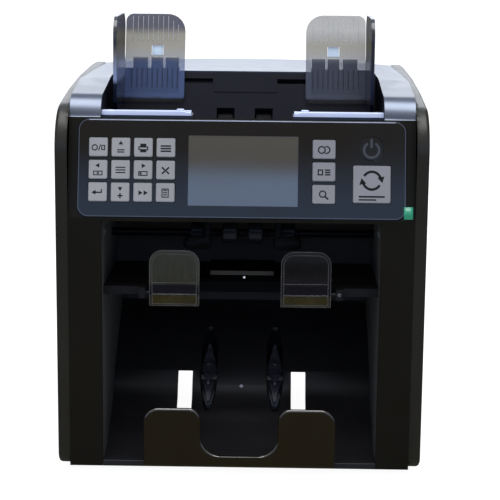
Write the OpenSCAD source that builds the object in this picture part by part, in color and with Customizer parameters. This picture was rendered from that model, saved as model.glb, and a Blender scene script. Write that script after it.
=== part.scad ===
// Two-pocket banknote counting machine: hopper on top, reject pocket in the middle, stacker pocket below.
// X runs across the machine, Y from front to rear, Z up from the table; the origin is on the table,
// under the middle of the machine.

/* [Case] */
// Width over the two side covers
case_w = 272; // [268:1:278]
// Depth of the case, front posts to rear edge
case_d = 280; // [278:1:290]
// Height of the crown of the top deck above the table
deck_z = 294; // [292:0.5:297]
// Height of the rubber feet
foot_h = 5; // [4:0.5:6]
// Wall thickness of the mouldings
wall = 3; // [2.5:0.1:3.2]
// Thickness of each side cover across the machine
cover_t = 9; // [8:0.5:10]
// Clear width between the pocket walls
pocket_w = 204.6; // [200:0.2:206]

/* [Control panel] */
// Width of the glossy fascia
fascia_w = 240; // [236:1:244]
// Height of the fascia along its slope
fascia_h = 72.1; // [70:0.1:74]
// Lean of the fascia from upright
tilt = 14.13; // [12:0.01:16]
// Width of a keypad key
key_w = 13.6; // [12:0.1:14]
// Height of a keypad key
key_h = 13.8; // [12:0.1:14]
// Pitch of the keypad, both ways
key_pitch = 16.45; // [16.2:0.05:16.8]
// Width of a mode key
mode_key_w = 16.6; // [14:0.1:18]
// Width and height of the restart key
restart_w = 27.3; // [24:0.1:28]
// Radius of the power key
power_r = 8.6; // [7:0.1:9]
// How far a key can be pressed
key_travel = 1; // [0.6:0.1:1.2]

/* [Hopper] */
// Clear width of the hopper opening
hopper_w = 208; // [206:1:212]
// Lean of the hopper back plate from upright
back_tilt = 19.3; // [17:0.1:21]
// Inward travel of each note guide
guide_travel = 37.5; // [30:0.5:37.5]
// Teeth of the pinion that joins the two guides
pinion_teeth = 16; // [16:2:18]

/* [Pockets] */
// Height of the top face of the reject shelf
shelf_z = 141; // [138:1:144]
// Height of the stacker front plate's ears
ear_z = 51.4; // [46:0.1:54]
// How far the stacker front plate stands out in front of the posts
plate_out = 4; // [3:0.5:5]
// Radius of the stacker fan wheels
fan_r = 30; // [28:0.5:30.5]
// Blades on each stacker fan wheel
fan_blades = 12; // [8:1:14]

/* [Hidden] */
$fn = 48;
e = 0.01;

// Case layout
front_y = plate_out - (case_d + plate_out) / 2;
half_w = case_w / 2;
seam_x = half_w - cover_t;
half_pocket = pocket_w / 2;
liner_t = 2.5;
plate_x = 110.5;
plate_t = 2;
post_t = 4;
bar_z = 14.7;
header_z = 191.8;
crown = 5.5;
tray_t = 3;

// Fascia: its lower front edge, and levels measured outward from its face
fascia_y = front_y - 0.5;
fascia_z = 194.9;
fascia_t = 2.6;
fascia_proud = 0.8;
slope_t = 5.6;
flange_t = 0.9;
key_gap = 0.4;
key_proud = 1.5;
key_flange = 0.8;
board_level = -8;
row_v = [18.2, 18.2 + key_pitch, 18.2 + 2 * key_pitch];
col_x = [for (i = [0:3]) -104.9 + i * key_pitch];
mode_x = 59.9;
restart_x = 94.85;
restart_v = 25.85;
power_x = 94.5;
power_v = 52;
lcd_x = 1;
lcd_v = 34.75;
lcd_w = 80.2;
lcd_h = 51.5;

// Hopper back plate: foot of its front face, and its length along the slope
back_d = 97;
back_z = 222;
back_len = 74;
slot_u = 67;
slot_h = 3.8;
lip_z = 266.9;
lip_t = 3;
slot_x = [25.6, 99];
gear_module = 1;
pinion_r = gear_module * pinion_teeth / 2;
pinion_u = 56.5;
layer_carriage = 3.4;
carriage_t = 2;
layer_rack = 5.8;
rack_t = 3.5;
axle_r = 2;
running = 0.05;
rib_x = 53.5;
rib_pitch = 4;

// Shaft centres: depth behind the front posts, height
pickup_at = [118.1, 246];
feed_at = [106, 203];
transport_at = [143, 168];
exit_at = [80, 170];
stacker_at = [103.5, 43];
diverter_at = [143, 134];
motor_at = [212, 96];
stacker_motor_at = [148, 34];
fan_x = 26.5;
fan_half_t = 7;
shaft_r = 3;
pickup_r = 14;
pulley_x = 114.5;
pulley_w = 6;
outer_pulley_x = 121;
exit_pulley_r = 6;
flap_at = [9, 136.5];
cover_at = [270, 64];

// ---- Helpers ----

// Points on an arc round [x, y]
function arc(x, y, r, a0, a1, n) =
    [for (i = [0:n]) [x + r * cos(a0 + (a1 - a0) * i / n), y + r * sin(a0 + (a1 - a0) * i / n)]];

// Outline of a rectangle with rounded corners, centred on [x, y]
function round_box(x, y, w, h, r, n = 5) = concat(
    arc(x + w / 2 - r, y + h / 2 - r, r, 0, 90, n), arc(x - w / 2 + r, y + h / 2 - r, r, 90, 180, n),
    arc(x - w / 2 + r, y - h / 2 + r, r, 180, 270, n), arc(x + w / 2 - r, y - h / 2 + r, r, 270, 360, n));

// Sweeps an outline of [depth, height] across the machine from x0 to x1
module across(x0, x1)
    translate([x0, front_y, 0]) rotate([90, 0, 90]) linear_extrude(x1 - x0) children();

// Sweeps an outline of [x, height] back from depth d0 to d1
module backward(d0, d1)
    translate([0, front_y + d1, 0]) rotate([90, 0, 0]) linear_extrude(d1 - d0) children();

// Box given by its limits in x, depth and height
module block(x0, x1, d0, d1, z0, z1)
    translate([x0, front_y + d0, z0]) cube([x1 - x0, d1 - d0, z1 - z0]);

// Round bar across the machine, centred on at = [depth, height]
module bar(x0, x1, at, r)
    translate([x0, front_y + at[0], at[1]]) rotate([0, 90, 0]) cylinder(h = x1 - x0, r = r);

// Puts [x, up the slope, outward] on the fascia's face
module on_fascia()
    translate([0, fascia_y, fascia_z]) rotate([90 - tilt, 0, 0]) children();

// Puts [x, up the slope, outward] on the front face of the hopper back plate
module on_back()
    translate([0, front_y + back_d, back_z]) rotate([90 - back_tilt, 0, 0]) children();

// Slab on the fascia or back plate, given by its limits
module slab(x0, x1, v0, v1, w0, w1)
    translate([x0, v0, w0]) cube([x1 - x0, v1 - v0, w1 - w0]);

// Both hands of a part
module both() {
    children();
    mirror([1, 0, 0]) children();
}

// ---- Case ----

// Side silhouette of the case, drawn in by inset
function side_outline(inset) = concat(
    arc(10, foot_h + 10, 10 - inset, 270, 180, 8),
    arc(34.5, 241, 34.5 - inset, 180, 97, 18),
    [[81, 281.5 - inset], [150, 286.8 - inset], [233, 289.6 - inset]],
    arc(case_d - 18, 271.8, 18 - inset, 88, 0, 10),
    arc(case_d - 8, foot_h + 8, 8 - inset, 0, -90, 6));

// Solid side cover from the seam outwards, rounded at its outer edges
module cover_solid(inset, depth)
    hull() {
        across(seam_x, seam_x + depth - 2.6) polygon(side_outline(inset));
        across(seam_x, seam_x + depth - 0.9) polygon(side_outline(inset + 0.7));
        across(seam_x, seam_x + depth) polygon(side_outline(inset + 2.4));
    }

module right_side_cover() color([0.07, 0.07, 0.08])
    difference() {
        cover_solid(0, cover_t);
        translate([-e, 0, 0]) cover_solid(wall, cover_t - wall);
    }

module left_side_cover() mirror([1, 0, 0]) right_side_cover();

// Sheet floor with a low rear wall; two long slots under the note windows let light through
module base_tray() color([0.1, 0.1, 0.11]) {
    rear_wall_z = 50;
    difference() {
        union() {
            block(-seam_x + 0.5, seam_x - 0.5, post_t, case_d - 1, foot_h, foot_h + tray_t);
            block(-half_pocket, half_pocket, 0, post_t + 1, foot_h, foot_h + tray_t);
            block(-seam_x + 0.5, seam_x - 0.5, case_d - 6, case_d - 3, foot_h, rear_wall_z);
        }
        both() block(35, 65, 62, case_d + 1, foot_h - 1, foot_h + 40);
        block(-114, -66.5, case_d - 7, case_d, 14, 44);
        both() for (d = [24, 252]) translate([104, front_y + d, 0]) cylinder(h = 20, r = 1.7);
        for (z = [16:6:40]) block(72, 112, case_d - 7, case_d, z, z + 3);
    }
    both() {
        block(116.5, 119.5, cover_at[0] - 4, case_d - 5.9, foot_h + 1, cover_at[1] + 4);
        bar(109.5, 117, cover_at, axle_r);
    }
}

module feet() color([0.05, 0.05, 0.05])
    both() for (d = [24, 252]) translate([104, front_y + d, 0]) {
        difference() {
            cylinder(h = foot_h, r = 8);
            translate([0, 0, -1]) cylinder(h = 3, r = 3.2);
        }
        translate([0, 0, foot_h - e]) cylinder(h = tray_t + 0.5, r = 1.5);
    }

// Point of the front frame's slope: v up the slope, w inward from the fascia's face
function slope_at(v, w) =
    [-0.5 + v * sin(tilt) + w * cos(tilt), fascia_z + v * cos(tilt) - w * sin(tilt)];

module front_frame() color([0.08, 0.08, 0.085]) {
    v_top = fascia_h + 1;
    difference() {
        across(-seam_x, seam_x) polygon([[0, foot_h], [0, 193.6], slope_at(v_top, fascia_proud),
            slope_at(v_top, slope_t), [post_t, 192.6], [post_t, foot_h]]);
        block(-half_pocket, half_pocket, -1, post_t + 1, foot_h - 1, header_z);
        on_fascia() translate([0, 0, -fascia_t]) linear_extrude(8)
            polygon(round_box(0, fascia_h / 2, fascia_w + 0.4, fascia_h + 0.4, 8));
        on_fascia() slab(-114, 114, 5, fascia_h - 6, -slope_t - 4, 0);
    }
    both() on_fascia() for (v = [8, 62]) translate([116.5, v, -10]) cylinder(h = 5.5, r = 3);
}

// Lengthwise section of the top, drawn in by inset
function top_outline(inset) = concat(
    [[60, 240], slope_at(fascia_h + 1.2, slope_t + 0.4), slope_at(fascia_h + 1.2, fascia_proud + inset)],
    arc(39.2, 260.9, 21 - inset, 165, 97, 14),
    [[60, deck_z - 9.2 - inset], [90, deck_z - 4.8 - inset], [122, deck_z - 1.4 - inset],
        [160, deck_z - 0.3 - inset], [200, deck_z - inset]],
    arc(case_d - 24, deck_z - 24, 24 - inset, 90, 0, 12), [[case_d - inset, 240]]);

// Crown of the top across the machine
function crown_outline(drop) = concat(
    [for (i = [-10:10]) [i / 10 * seam_x, deck_z - drop - crown * pow(i / 10, 2)]],
    [[seam_x, 230], [-seam_x, 230]]);

module top_solid(inset, x)
    intersection() {
        across(-x, x) polygon(top_outline(inset));
        backward(-5, case_d + 5) polygon(crown_outline(inset));
    }

module top_cover() color([0.08, 0.08, 0.085]) {
    half = hopper_w / 2;
    out = half + liner_t;
    bar_d = [24.2, 46];
    open_d = 125;
    difference() {
        top_solid(0, seam_x);
        difference() {
            top_solid(wall, seam_x - wall);
            both() block(half - 1, out, 16, 128, 200, 300);
        }
        bar(-out - 1, out + 1, pickup_at, shaft_r + 1);
        block(-half, half, -5, open_d, 262, 320);
        block(-half, half, bar_d[1], open_d, 200, 320);
        across(-seam_x - 1, seam_x + 1)
            polygon([[20, 239], [20, 262.5], [46, 268], [134, 268], [134, 239]]);
        across(-seam_x + wall, seam_x - wall)
            polygon([[40, 239], [50, 246], [case_d - 8, 246], [case_d - 8, 239]]);
    }
    both() difference() {
        block(half, out, 46, 120, 219, 270);
        bar(half - 1, out + 1, pickup_at, shaft_r + 1);
    }
    across(-seam_x + wall, seam_x - wall) polygon([[271, 231], [273.5, 231], [273.5, 240], [277.5, 243],
        [277.5, 250], [271, 250]]);
    both() block(half, out, bar_d[0], 47, 260, 268);
    both() block(37, out, bar_d[0], bar_d[1], 260, lip_z);
    both() block(37, 39, bar_d[0], bar_d[1], 247, 260.1);
    block(-39, 39, bar_d[0], bar_d[1], 247, 249.5);
}

// ---- Hopper ----

module hopper_front_lip() color([0.82, 0.84, 0.87])
    both() {
        difference() {
            block(38, hopper_w / 2 - 0.3, 24, 33.5, lip_z, lip_z + lip_t);
            block(38 - e, 42, 24 - e, 27, lip_z + lip_t - 0.8, lip_z + 9);
        }
        translate([46, front_y + 29.5, lip_z + lip_t - e]) cylinder(h = 1.3, r = 2.8);
    }

// Sloping floor the notes stand on, with a slot for the feed rollers and a separator pad
module hopper_floor() color([0.09, 0.09, 0.1])
    difference() {
        across(-hopper_w / 2 + 0.3, hopper_w / 2 - 0.3)
            polygon([[46.4, 258], [46.4, 262], [49, 262], [86, 225], [93, 222.5], [93, 219.5], [85, 221]]);
        block(-36, 36, 84, 98, 210, 230);
        block(-42, 42, 40, 52, 252, 270);
    }

module hopper_back_plate() color([0.09, 0.09, 0.1])
    on_back() {
        difference() {
            union() {
                slab(-hopper_w / 2 + 0.5, hopper_w / 2 - 0.5, 3, back_len, -wall, 0);
                slab(-25, 25, 58, back_len, -e, 0.6);
            }
            both() slab(slot_x[0], slot_x[1], slot_u - slot_h / 2, slot_u + slot_h / 2, -9, 2);
            both() slab(8, 22.2, 16, 45, -9, 2);
            for (x = [-30, 30]) translate([x, 24, -9]) cylinder(h = 12, r = 3);
        }
        translate([0, pinion_u, -layer_rack - rack_t - 1]) cylinder(h = layer_rack + rack_t, r = axle_r);
        translate([0, pinion_u, -layer_rack - rack_t - 2]) cylinder(h = 1.5, r = axle_r + 1.3);
    }

// Straight rack across the machine: teeth centred half a pitch either side of x = 0
module rack(x0, x1, side) {
    pitch = PI * gear_module;
    root = pinion_r + 1.25 * gear_module;
    tip = pinion_r - 0.85 * gear_module;
    linear_extrude(rack_t) {
        translate([x0, side > 0 ? root : -root - 2.6]) square([x1 - x0, 2.6]);
        for (k = [ceil(x0 / pitch):floor(x1 / pitch) - 1])
            translate([(k + 0.5) * pitch, 0]) scale([1, side, 1])
                polygon([[-1.12, root + 0.1], [-0.33, tip], [0.33, tip], [1.12, root + 0.1]]);
    }
}

// Side plate seen from the side: depth, height
function guide_outline() = concat(
    [[60, 262], [50, 274], [51, 321]],
    arc(68, 321, 17, 175, 105, 8),
    arc(112, 326, 12, 90, 0, 6),
    [[118, 306], [121.5, 297], [115.5, 283], [108, 262]]);

// Guide on the right-hand side; side is the side of the pinion its rack runs on
module guide_body(side) {
    near = pinion_u + side * (pinion_r + 1.3);
    far = pinion_u + side * (pinion_r + 3.5);
    rack_back = layer_rack + rack_t;
    difference() {
        union() {
            across(95.2, 97.8) polygon(guide_outline());
            on_back() slab(88, 96, 56, 76.3, 1, 2.4);
        }
        on_back() slab(50, 120, 30, 130, -40, 1);
    }
    on_back() {
        slab(52.4, 89, 56, 76.3, 1, 2.4);
        for (x = [[52.4, 63.5], [65, 74.7], [77, 89]]) slab(x[0], x[1], 76, 84.8, 1, 2.4);
        slab(64, 73, slot_u - 1.5, slot_u + 1.5, -layer_carriage - 0.2, 1.1);
        slab(61, 75, min(near, slot_u - 2), slot_u + 4, -layer_carriage - carriage_t, -layer_carriage);
        slab(61, 75, min(near, far), max(near, far), -rack_back, -layer_carriage - 1);
        translate([0, pinion_u, -rack_back]) rack(-8, 75, side);
    }
}

module right_guide() color([0.09, 0.09, 0.1]) guide_body(-1);
module left_guide() color([0.09, 0.09, 0.1]) mirror([1, 0, 0]) guide_body(1);

// Clear ribbed plate of the right-hand guide
module window_body() {
    outline = concat(arc(52, 52.5, 4, 180, 270, 5), [[95.2, 48.5]], arc(89.2, 114.3, 6, 0, 90, 6),
        arc(62, 106.3, 14, 90, 180, 8));
    on_back() {
        difference() {
            translate([0, 0, 2.4]) linear_extrude(2) polygon(outline);
            slab(65, 74.5, 86.5, 95, 0, 9);
        }
        for (x = [rib_x:rib_pitch:90]) {
            slab(x - 0.35, x + 0.35, 98, x < 58 ? 110 + (x - rib_x) * 0.9 : 118.4, 4.3, 4.9);
            slab(x - 0.35, x + 0.35, 60, 76, 4.3, 4.9);
        }
    }
}

module right_guide_window() color([0.75, 0.72, 0.62, 0.4]) window_body();
module left_guide_window() color([0.75, 0.72, 0.62, 0.4]) mirror([1, 0, 0]) window_body();

// Outline of one pinion tooth and the arc to the next, by angle
function tooth(i) =
    let (a = 90 + i * 360 / pinion_teeth, root = pinion_r - 1.2 * gear_module,
        tip = pinion_r + 0.85 * gear_module)
    [for (p = [[root, 6.8], [pinion_r - 0.5, 5.9], [pinion_r + 0.1, 4.7], [tip, 2.2],
        [tip, -2.2], [pinion_r + 0.1, -4.7], [pinion_r - 0.5, -5.9], [root, -6.8]])
        [p[0] * cos(a + p[1]), p[0] * sin(a + p[1])]];

module guide_pinion() color([0.85, 0.84, 0.8])
    on_back() translate([0, pinion_u, -layer_rack - rack_t]) difference() {
        linear_extrude(rack_t - 0.3) polygon([for (i = [0:pinion_teeth - 1]) each tooth(-i)]);
        translate([0, 0, -1]) cylinder(h = 9, r = axle_r + running);
    }

// ---- Control panel ----

module panel_fascia() color([0.02, 0.02, 0.025])
    on_fascia() difference() {
        translate([0, 0, -fascia_t]) linear_extrude(fascia_t)
            polygon(round_box(0, fascia_h / 2, fascia_w, fascia_h, 8, 8));
        for (x = col_x, v = row_v) key_hole(x, v, key_w, key_h);
        for (v = row_v) key_hole(mode_x, v, mode_key_w, key_h);
        key_hole(restart_x, restart_v, restart_w, restart_w);
        translate([power_x, power_v, -9]) cylinder(h = 20, r = power_r + key_gap);
        slab(lcd_x - lcd_w / 2, lcd_x + lcd_w / 2, lcd_v - lcd_h / 2, lcd_v + lcd_h / 2, -5, 5);
        slab(lcd_x - lcd_w / 2 - 2.2, lcd_x + lcd_w / 2 + 2.2, lcd_v - lcd_h / 2 - 2.2,
            lcd_v + lcd_h / 2 + 2.2, -5, -0.9);
    }

module key_hole(x, v, w, h)
    translate([0, 0, -9]) linear_extrude(20) polygon(round_box(x, v, w + 2 * key_gap, h + 2 * key_gap, 1.6));

module lcd_glass() color([0.28, 0.3, 0.27])
    on_fascia() slab(lcd_x - lcd_w / 2 - 1.8, lcd_x + lcd_w / 2 + 1.8, lcd_v - lcd_h / 2 - 1.8,
        lcd_v + lcd_h / 2 + 1.8, -2.4, -0.9);

module lcd_module() color([0.6, 0.6, 0.62])
    on_fascia() {
        slab(lcd_x - 43, lcd_x + 43, lcd_v - 28.5, lcd_v + 28.5, -7, -2.6);
        slab(lcd_x - 45.5, lcd_x + 45.5, lcd_v - 29.5, lcd_v + 29.5, -8.6, -7);
        slab(lcd_x - 20, lcd_x + 14, lcd_v - 10, lcd_v + 12, -12, -8.6);
    }

// Cap, retaining flange and plunger of a rectangular key centred on [x, v]
module key(x, v, w, h)
    color([0.68, 0.68, 0.7]) on_fascia() {
        translate([0, 0, -fascia_t - flange_t]) linear_extrude(fascia_t + flange_t + key_proud - 0.5)
            polygon(round_box(x, v, w, h, 1.2));
        translate([0, 0, key_proud - 0.5 - e]) linear_extrude(0.5 + e)
            polygon(round_box(x, v, w - 0.9, h - 0.9, 1));
        translate([0, 0, -fascia_t - flange_t]) linear_extrude(flange_t - 0.1)
            polygon(round_box(x, v, w + 2 * key_flange + 0.4, h + 2 * key_flange + 0.4, 1.6));
    }

module keypad_key(i) key(col_x[i % 4], row_v[2 - floor(i / 4)], key_w, key_h);
module mode_key(i) key(mode_x, row_v[3 - i], mode_key_w, key_h);
module restart_key() key(restart_x, restart_v, restart_w, restart_w);

module power_key() color([0.03, 0.03, 0.035])
    on_fascia() translate([power_x, power_v, 0]) {
        translate([0, 0, -fascia_t - flange_t]) cylinder(h = fascia_t + flange_t + 0.3, r = power_r);
        translate([0, 0, -fascia_t - flange_t])
            cylinder(h = flange_t - 0.1, r = power_r + key_gap + key_flange);
    }

// Two circuit boards with a push switch under each key
module key_boards() color([0.05, 0.22, 0.12])
    on_fascia() {
        slab(-112.5, -47, 7, 64, board_level - 1.6, board_level);
        slab(49, 112.5, 7, 64, board_level - 1.6, board_level);
        for (x = col_x, v = row_v) push_switch(x, v);
        for (v = row_v) push_switch(mode_x, v);
        push_switch(restart_x, restart_v);
        push_switch(power_x, power_v);
    }

module push_switch(x, v) {
    top = -fascia_t - flange_t - key_travel - 0.2;
    slab(x - 3, x + 3, v - 3, v + 3, board_level - e, top - 0.8);
    translate([x, v, board_level]) cylinder(h = top - board_level, r = 1.7);
}

// ---- Inner frame ----

// Steel side plates that carry every shaft
module frame_plates() color([0.62, 0.63, 0.65])
    both() difference() {
        across(plate_x, plate_x + plate_t) polygon([[12, foot_h + tray_t], [12, 184], [36, 200], [36, 258],
            [232, 258], [250, 240], [250, foot_h + tray_t]]);
        for (at = [pickup_at, feed_at, transport_at, exit_at, diverter_at])
            bar(plate_x - 2, plate_x + plate_t + 2, at, shaft_r + running);
        bar(plate_x - 2, plate_x + plate_t + 2, motor_at, 5.5);
        across(plate_x - 1, plate_x + plate_t + 1) {
            polygon(round_box(190, 190, 60, 70, 10));
            polygon(round_box(180, 45, 90, 34, 8));
            polygon(round_box(60, 90, 50, 60, 8));
        }
        for (at = [[30, 20], [230, 20], [60, 215], [225, 250]])
            bar(plate_x - 2, plate_x + plate_t + 2, at, 2.1);
    }

// Moulded side walls of the two pockets
module pocket_liners() color([0.1, 0.11, 0.11])
    both() difference() {
        across(half_pocket, half_pocket + liner_t) polygon([[post_t, 9], [post_t, 188], [20, 192], [132, 192],
            [132, 112], [162, 112], [162, 86], [130, 70], [104, 40], [60, 9]]);
        bar(half_pocket - 1, half_pocket + liner_t + 1, exit_at, shaft_r + 1);
        for (d = [20, 30]) bar(half_pocket - 1, half_pocket + liner_t + 1, [d, 180], 1.6);
    }

// Shelf of the reject pocket: two horns reach the front, the middle is cut back; the rod carries the flaps
module reject_shelf() color([0.1, 0.1, 0.11]) {
    thick = 6;
    bar_d = 58;
    difference() {
        block(-half_pocket, half_pocket, 11, 126, shelf_z - thick, shelf_z);
        block(-70, 70, 5, 44, shelf_z - 20, shelf_z + 10);
        block(-25.4, 25.4, 40, bar_d + 8, shelf_z - 20, shelf_z + 10);
        across(-70, 70) polygon([[43, shelf_z - 1.5], [43, shelf_z - thick - 1], [64, shelf_z - thick - 1]]);
    }
    across(-25, 25) polygon([[bar_d, shelf_z - 0.7], [bar_d, shelf_z + 3.2], [bar_d + 18, shelf_z + 8],
        [bar_d + 24, shelf_z + 5], [bar_d + 24, shelf_z - 0.7]]);
    block(-24, 24, bar_d + 2.5, bar_d + 20, shelf_z - thick, shelf_z);
    both() {
        block(70.5, 75.5, 6, 12, flap_at[1] - 3.6, shelf_z);
        bar(30, 72, flap_at, axle_r);
    }
}

// Rear wall of the reject pocket with the roof over the exit rollers
module reject_back_wall() color([0.12, 0.12, 0.125]) {
    sill = shelf_z + e;
    across(-half_pocket, half_pocket) polygon([[107, sill], [126, 170], [126, 190], [129, 190], [129, 169.5],
        [112.5, sill + 2.5], [130, sill + 2.5], [130, 112], [127, 112], [127, sill]]);
    block(-half_pocket, half_pocket, 62, 127, 184.5, 187);
}

// Padded fingers that hang from the roof and press notes on to the outer exit rollers
module exit_pressers() color([0.05, 0.05, 0.055])
    both() {
        backward(58, 70) polygon(round_box(34.5, 165, 22, 9, 4));
        block(25, 31, 64, 69.5, 166, 184.5);
    }

// Floor and rising back of the stacker pocket, with fan slots, see-through windows and bearing cheeks
module stacker_housing() color([0.1, 0.1, 0.11]) {
    top = [[0, 9.4], [14, 9.6], [33, 12], [57.5, 24.5], [79, 37], [83.5, 45], [92, 55.5], [126, 80]];
    rise = [[152, 92.5], [158, 99], [158, 152], [160.5, 152], [160.5, 98], [153, 89.5]];
    under = [[126, 77], [94, 52.6], [86, 43.6], [81.5, 34.6], [59, 21.4], [36, 9.6], [32, foot_h + tray_t],
        [0, foot_h + tray_t]];
    difference() {
        across(-half_pocket, half_pocket) polygon(concat(top, rise, under));
        both() block(39.5, 51, 56, 100, 5, 54.5);
        both() translate([fan_x, front_y, 5]) linear_extrude(90) polygon([[-2, 66], [-6.4, 84], [-6.4, 114],
            [-2, 130], [2, 130], [6.4, 114], [6.4, 84], [2, 66]]);
    }
    both() difference() {
        across(34.4, 37) polygon([[60, foot_h + tray_t], [60, 22], [79, 34], [84, 42], [89, 49.5], [94, 55],
            [118, 73], [126, 78], [152, 91], [157, 97], [157, foot_h + tray_t]]);
        bar(33, 38, stacker_at, shaft_r + running);
    }
    both() block(73, 77, 84, 92, foot_h + tray_t, 41.5);
}

// Front plate of the stacker pocket: two ears and a round-cornered hollow between them
module stacker_front_plate() color([0.09, 0.085, 0.08]) {
    out = 71.5;
    inn = 29;
    hollow_r = 16;
    outline = concat([[-out, foot_h + 1], [out, foot_h + 1]],
        arc(out - 11, ear_z - 11, 11, 0, 90, 8), arc(inn + 9, ear_z - 9, 9, 90, 180, 8),
        arc(inn - hollow_r, bar_z + hollow_r, hollow_r, 0, -90, 8),
        arc(-inn + hollow_r, bar_z + hollow_r, hollow_r, -90, -180, 8),
        arc(-inn - 9, ear_z - 9, 9, 0, 90, 8), arc(-out + 11, ear_z - 11, 11, 90, 180, 8));
    backward(-plate_out, 0) polygon(outline);
}

// ---- Transport ----

module pickup_shaft() color([0.2, 0.2, 0.21]) {
    bar(-plate_x - 4, outer_pulley_x + pulley_w, pickup_at, shaft_r);
    both() bar(9, 21.2, pickup_at, pickup_r);
    bar(outer_pulley_x, outer_pulley_x + pulley_w, pickup_at, 9);
}

module feed_shaft() color([0.22, 0.22, 0.23]) {
    bar(-plate_x - 4, outer_pulley_x + pulley_w, feed_at, shaft_r);
    both() bar(6, 32, feed_at, 15);
    both() bar(60, 72, feed_at, 13);
    bar(pulley_x, pulley_x + pulley_w, feed_at, 9);
    bar(outer_pulley_x, outer_pulley_x + pulley_w, feed_at, 9);
}

module transport_shaft() color([0.22, 0.22, 0.23]) {
    bar(-pulley_x - pulley_w, pulley_x + pulley_w, transport_at, shaft_r);
    for (x = [-81, -31, 19, 69]) bar(x, x + 12, transport_at, 11);
    bar(pulley_x, pulley_x + pulley_w, transport_at, 7);
    bar(-pulley_x - pulley_w, -pulley_x, transport_at, exit_pulley_r);
}

module exit_shaft() color([0.22, 0.22, 0.23]) {
    bar(-pulley_x - pulley_w, plate_x + 4, exit_at, shaft_r);
    for (x = [-35, -10, 10, 35]) bar(x - 5.8, x + 5.8, exit_at, 8);
    bar(-pulley_x - pulley_w, -pulley_x, exit_at, exit_pulley_r);
}

// One curved blade of a fan wheel, sweeping back as it goes out
function blade(a) = concat(
    [for (i = [0:8]) let (r = 8 + (fan_r - 8) * i / 8, t = a + 46 * i / 8) [r * cos(t), r * sin(t)]],
    [for (i = [8:-1:0]) let (r = 8 + (fan_r - 8) * i / 8, t = a + 46 * i / 8 + 100 / r)
        [r * cos(t), r * sin(t)]]);

// Double-cone body that the blades are cut from: thick at the hub, thin at the rim
module fan_body()
    rotate([0, 90, 0]) rotate_extrude() polygon([[0, -fan_half_t], [9, -fan_half_t], [fan_r, -0.8],
        [fan_r, 0.8], [9, fan_half_t], [0, fan_half_t]]);

module stacker_shaft() color([0.3, 0.31, 0.33]) {
    bar(-38.4, 38.4, stacker_at, shaft_r);
    bar(-5, 5, stacker_at, 7);
    both() intersection() {
        translate([fan_x, front_y + stacker_at[0], stacker_at[1]]) fan_body();
        union() {
            bar(fan_x - 8, fan_x + 8, stacker_at, 12);
            across(fan_x - 8, fan_x + 8) translate(stacker_at)
                for (i = [0:fan_blades - 1]) polygon(blade(i * 360 / fan_blades));
        }
    }
}

// Swinging fingers that send a note to the upper or the lower pocket
module diverter() color([0.15, 0.15, 0.16]) {
    bar(-plate_x - 3, plate_x + 3, diverter_at, shaft_r);
    for (x = [-90:30:90]) across(x - 2.5, x + 2.5) translate(diverter_at)
        polygon([[-4.4, -2], [4.4, -2], [1, 17], [-1, 17]]);
}

module image_sensors() color([0.16, 0.16, 0.18]) {
    block(-100, 100, 132, 146, 196, 212);
    block(-100, 100, 151, 165, 196, 212);
}

module main_motor() color([0.45, 0.46, 0.48]) {
    bar(48, plate_x - e, motor_at, 24);
    bar(44, 48.2, motor_at, 10);
    bar(plate_x - 1, pulley_x + pulley_w, motor_at, 4);
    bar(pulley_x, pulley_x + pulley_w, motor_at, 8.5);
}

// Small motor that turns the fan wheels through a short belt
module stacker_motor() color([0.5, 0.51, 0.53]) {
    bar(-30, -6.5, stacker_motor_at, 12);
    bar(-7, 3.5, stacker_motor_at, 5);
    block(-30, -8, stacker_motor_at[0] - 8, stacker_motor_at[0] + 8, foot_h + tray_t, 30);
}

// Flat belt loop round two pulleys, x0 to x1 across
module belt(x0, x1, a, b, ra, rb)
    across(x0, x1) difference() {
        hull() {
            translate(a) circle(ra + 1.8);
            translate(b) circle(rb + 1.8);
        }
        hull() {
            translate(a) circle(ra + 0.4);
            translate(b) circle(rb + 0.4);
        }
    }

module drive_belts() color([0.04, 0.04, 0.04]) {
    belt(pulley_x + 1, pulley_x + pulley_w - 1, motor_at, feed_at, 8.5, 9);
    belt(outer_pulley_x + 1, outer_pulley_x + pulley_w - 1, feed_at, pickup_at, 9, 9);
    belt(-pulley_x - pulley_w + 1, -pulley_x - 1, transport_at, exit_at, exit_pulley_r, exit_pulley_r);
    belt(-2.6, 2.6, stacker_at, stacker_motor_at, 7, 5);
}

module main_board() color([0.05, 0.25, 0.14]) {
    block(-92, 62, 258, 259.6, 112, 226);
    block(-70, -50, 252, 258, 190, 215);
    block(-20, 6, 255, 258, 150, 176);
    block(20, 52, 250, 258, 120, 134);
    both() for (z = [118, 220]) block(50, 54, 248, 258.2, z - 2, z + 2);
}

module power_supply() color([0.66, 0.67, 0.68])
    block(-108, -67, 150, 246, foot_h + tray_t, 54);

// Appliance inlet and switch frame in the rear wall
module power_inlet() color([0.05, 0.05, 0.055])
    difference() {
        union() {
            block(-114, -66.5, case_d - 6, case_d - 3, 14, 44);
            block(-113, -83, case_d - 18, case_d - 5.9, 17, 41);
            block(-81, -68, case_d - 18, case_d - 5.9, 17, 41);
            block(-115, -65.5, case_d - 3, case_d - 1.4, 12.5, 45.5);
        }
        backward(case_d - 16, case_d + 1) polygon([[-110.5, 19.5], [-85.5, 19.5], [-85.5, 34], [-89.5, 38],
            [-106.5, 38], [-110.5, 34]]);
        block(-79.5, -69.5, case_d - 16, case_d + 1, 19, 39);
    }

module power_rocker() color([0.45, 0.05, 0.05])
    intersection() {
        bar(-79, -70, [case_d - 9.5, 29], 9.2);
        block(-79, -70, case_d - 13, case_d, 19.5, 38.5);
    }

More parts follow.
